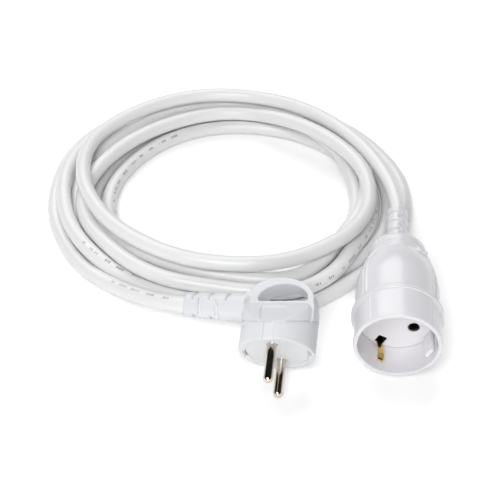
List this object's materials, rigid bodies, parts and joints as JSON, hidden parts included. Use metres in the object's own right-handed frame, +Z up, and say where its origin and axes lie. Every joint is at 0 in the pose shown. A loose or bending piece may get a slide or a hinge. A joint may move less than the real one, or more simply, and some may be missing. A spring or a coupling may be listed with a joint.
{
  "type": "extension_cord",
  "caption": "White earthed extension cord: angled plug with finger ring, coiled round cord and bell-shaped inline coupling.",
  "frame": {"origin": "bottom centre of the box round the plug and the coupling, on the surface they lie on", "axes": "+Z up, the coupling's mouth and the plug's pins towards -Y"},
  "size_m": [0.2293, 0.2555, 0.046],
  "materials": {
    "cord_pvc": "gloss",
    "plug_pvc": "satin",
    "coupling_plastic": "gloss",
    "nickel": "polished",
    "brass": "satin",
    "brown_core": "satin",
    "blue_core": "satin",
    "earth_core": "satin"
  },
  "bodies": {
    "root": {"cord_sheath": "cord_pvc", "plug_body": "plug_pvc", "plug_bridge": "plug_pvc", "plug_pin_live": "nickel", "plug_pin_neutral": "nickel", "plug_earth_strap": "brass", "plug_crimps": "nickel", "plug_core_live": "brown_core", "plug_core_neutral": "blue_core", "plug_core_earth": "earth_core", "coupling_shell": "coupling_plastic", "coupling_insert": "coupling_plastic", "coupling_collar": "coupling_plastic", "coupling_boot": "coupling_plastic", "coupling_contact_live": "nickel", "coupling_contact_neutral": "nickel", "coupling_earth_strap": "brass", "coupling_crimps": "nickel", "coupling_core_live": "brown_core", "coupling_core_neutral": "blue_core", "coupling_core_earth": "earth_core"}
  },
  "joints": []
}
